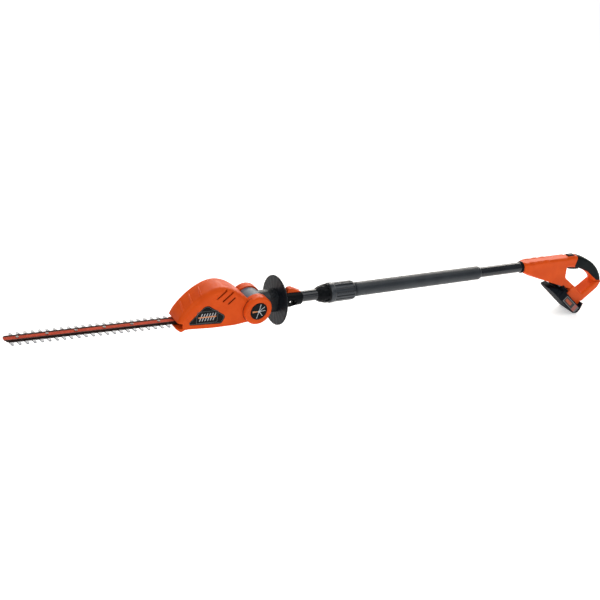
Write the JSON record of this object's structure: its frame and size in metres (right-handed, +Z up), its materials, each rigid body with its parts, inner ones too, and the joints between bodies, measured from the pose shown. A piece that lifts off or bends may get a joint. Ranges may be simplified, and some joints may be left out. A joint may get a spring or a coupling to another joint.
{
  "type": "pole hedge trimmer",
  "caption": "Cordless pole hedge trimmer: reciprocating blades on a pivoting motor head, guard disc, two-part tube with foam grip, and a closed rear handle with battery.",
  "frame": {"origin": "bottom centre of the whole tool's box, with the pole level", "axes": "+X along the pole from the blade's tip to the rear handle, +Z up, +Y across the tool"},
  "size_m": [2.0106, 0.141, 0.2606],
  "materials": {
    "orange_plastic": "satin",
    "black_plastic": "satin",
    "grey_plastic": "satin",
    "disc_plastic": "satin",
    "sleeve_plastic": "satin",
    "overmould_rubber": "matte",
    "foam": "matte",
    "tube_black": "gloss",
    "bar_red": "satin",
    "blade_steel": "ground",
    "steel": "bright",
    "brass": "turned",
    "cable": "matte",
    "cell_wrap": "gloss",
    "label": "satin"
  },
  "bodies": {
    "handle": {"rear_tube": "tube_black", "foam_grip": "foam", "lead_socket": "black_plastic", "rear_lead": "cable", "lock_collet": "grey_plastic", "handle_shell_near": "orange_plastic", "handle_shell_far": "orange_plastic", "grip_overmould": "overmould_rubber", "handle_screws": "steel", "trigger_pin": "steel", "power_switch": "grey_plastic", "handle_ring": "black_plastic", "battery_cradle": "black_plastic", "contact_block": "grey_plastic", "contact_blades": "brass", "trigger_spring": "steel", "lock_off_spring": "steel"},
    "collar": {"collar_sleeve": "sleeve_plastic"},
    "front_pole": {"front_tube": "tube_black", "pole_spigot": "black_plastic", "front_lead": "cable", "lead_plug": "black_plastic", "collar_nose": "black_plastic"},
    "knuckle": {"pivot_knuckle": "grey_plastic", "pivot_bush": "brass", "guard_disc": "disc_plastic", "pole_coupler": "black_plastic", "latch_pin": "steel", "latch_spring": "steel"},
    "latch": {"release_latch": "orange_plastic"},
    "head": {"head_badges": "black_plastic", "head_screws": "steel", "blade_bar": "bar_red", "head_shell_near": "orange_plastic", "head_shell_far": "orange_plastic", "blade_bolts": "steel", "blade_nuts": "steel", "motor_can": "steel", "motor_end_cap": "black_plastic", "gear_plate": "grey_plastic", "gear_pin": "steel", "motor_bush": "brass", "pivot_shaft": "steel", "pivot_cap": "black_plastic", "pivot_lock_spring": "steel"},
    "crank": {"crank_gear": "steel"},
    "rotor": {"motor_armature": "steel", "motor_shaft": "steel", "motor_pinion": "steel"},
    "upper_blade": {"upper_blade": "blade_steel"},
    "lower_blade": {"lower_blade": "blade_steel"},
    "lock_button": {"pivot_lock_button": "black_plastic"},
    "trigger": {"trigger": "black_plastic"},
    "lock_off": {"lock_off_button": "black_plastic"},
    "battery": {"pack_lower_case": "black_plastic", "pack_upper_case": "black_plastic", "battery_cells": "cell_wrap", "pack_side_plates": "label", "pack_release_spring": "steel"},
    "pack_release": {"pack_release_button": "grey_plastic"}
  },
  "joints": [
    {"name": "collar_turn", "type": "hinge", "parent": "handle", "child": "collar", "pos_m": [-0.0278, 0, 0.18371], "axis": [1, 0, 0], "range_deg": [0, 120]},
    {"name": "pole_takedown", "type": "slide", "parent": "handle", "child": "front_pole", "axis": [-1, 0, 0], "range_m": [0, 0.12]},
    {"name": "head_release", "type": "slide", "parent": "front_pole", "child": "knuckle", "axis": [-1, 0, 0], "range_m": [0, 0.04]},
    {"name": "latch_press", "type": "hinge", "parent": "knuckle", "child": "latch", "pos_m": [-0.1718, 0, 0.20291], "axis": [0, -1, 0], "range_deg": [0, 3.5], "stiffness_Nm_per_rad": 0.6, "springref_deg": -2.86, "deforming": ["latch_spring"]},
    {"name": "head_pivot", "type": "hinge", "parent": "knuckle", "child": "head", "pos_m": [-0.31695, 0, 0.18371], "axis": [0, 1, 0], "range_deg": [-90, 90]},
    {"name": "lock_press", "type": "slide", "parent": "head", "child": "lock_button", "axis": [0, 1, 0], "range_m": [0, 0.004], "stiffness_N_per_m": 700, "springref_m": -0.002, "deforming": ["pivot_lock_spring"]},
    {"name": "crank_spin", "type": "hinge", "parent": "head", "child": "crank", "pos_m": [-0.46821, 0, 0.16956], "axis": [0.0255, 0, 0.9997], "continuous": true},
    {"name": "rotor_spin", "type": "hinge", "parent": "head", "child": "rotor", "pos_m": [-0.43525, 0, 0.20674], "axis": [0.0255, 0, 0.9997], "continuous": true},
    {"name": "upper_stroke", "type": "slide", "parent": "head", "child": "upper_blade", "axis": [0.9997, 0, -0.0255], "range_m": [-0.00475, 0.00475]},
    {"name": "lower_stroke", "type": "slide", "parent": "head", "child": "lower_blade", "axis": [0.9997, 0, -0.0255], "range_m": [-0.00475, 0.00475]},
    {"name": "trigger_pull", "type": "hinge", "parent": "handle", "child": "trigger", "pos_m": [0.8472, 0, 0.17071], "axis": [0, -1, 0], "range_deg": [0, 6], "stiffness_Nm_per_rad": 1, "springref_deg": -4.58, "deforming": ["trigger_spring"]},
    {"name": "lock_off_press", "type": "slide", "parent": "handle", "child": "lock_off", "axis": [0, 0, -1], "range_m": [0, 0.004], "stiffness_N_per_m": 500, "springref_m": -0.002, "deforming": ["lock_off_spring"]},
    {"name": "battery_slide", "type": "slide", "parent": "handle", "child": "battery", "axis": [0.7738, 0, -0.6334], "range_m": [0, 0.14]},
    {"name": "pack_release_press", "type": "slide", "parent": "battery", "child": "pack_release", "axis": [-0.7738, 0, 0.6334], "range_m": [0, 0.0025], "stiffness_N_per_m": 700, "springref_m": -0.0015, "deforming": ["pack_release_spring"]}
  ],
  "couplings": [
    {"joint": "rotor_spin", "follows": "crank_spin", "ratio": -5.4},
    {"joint": "lower_stroke", "follows": "upper_stroke", "ratio": -1}
  ]
}
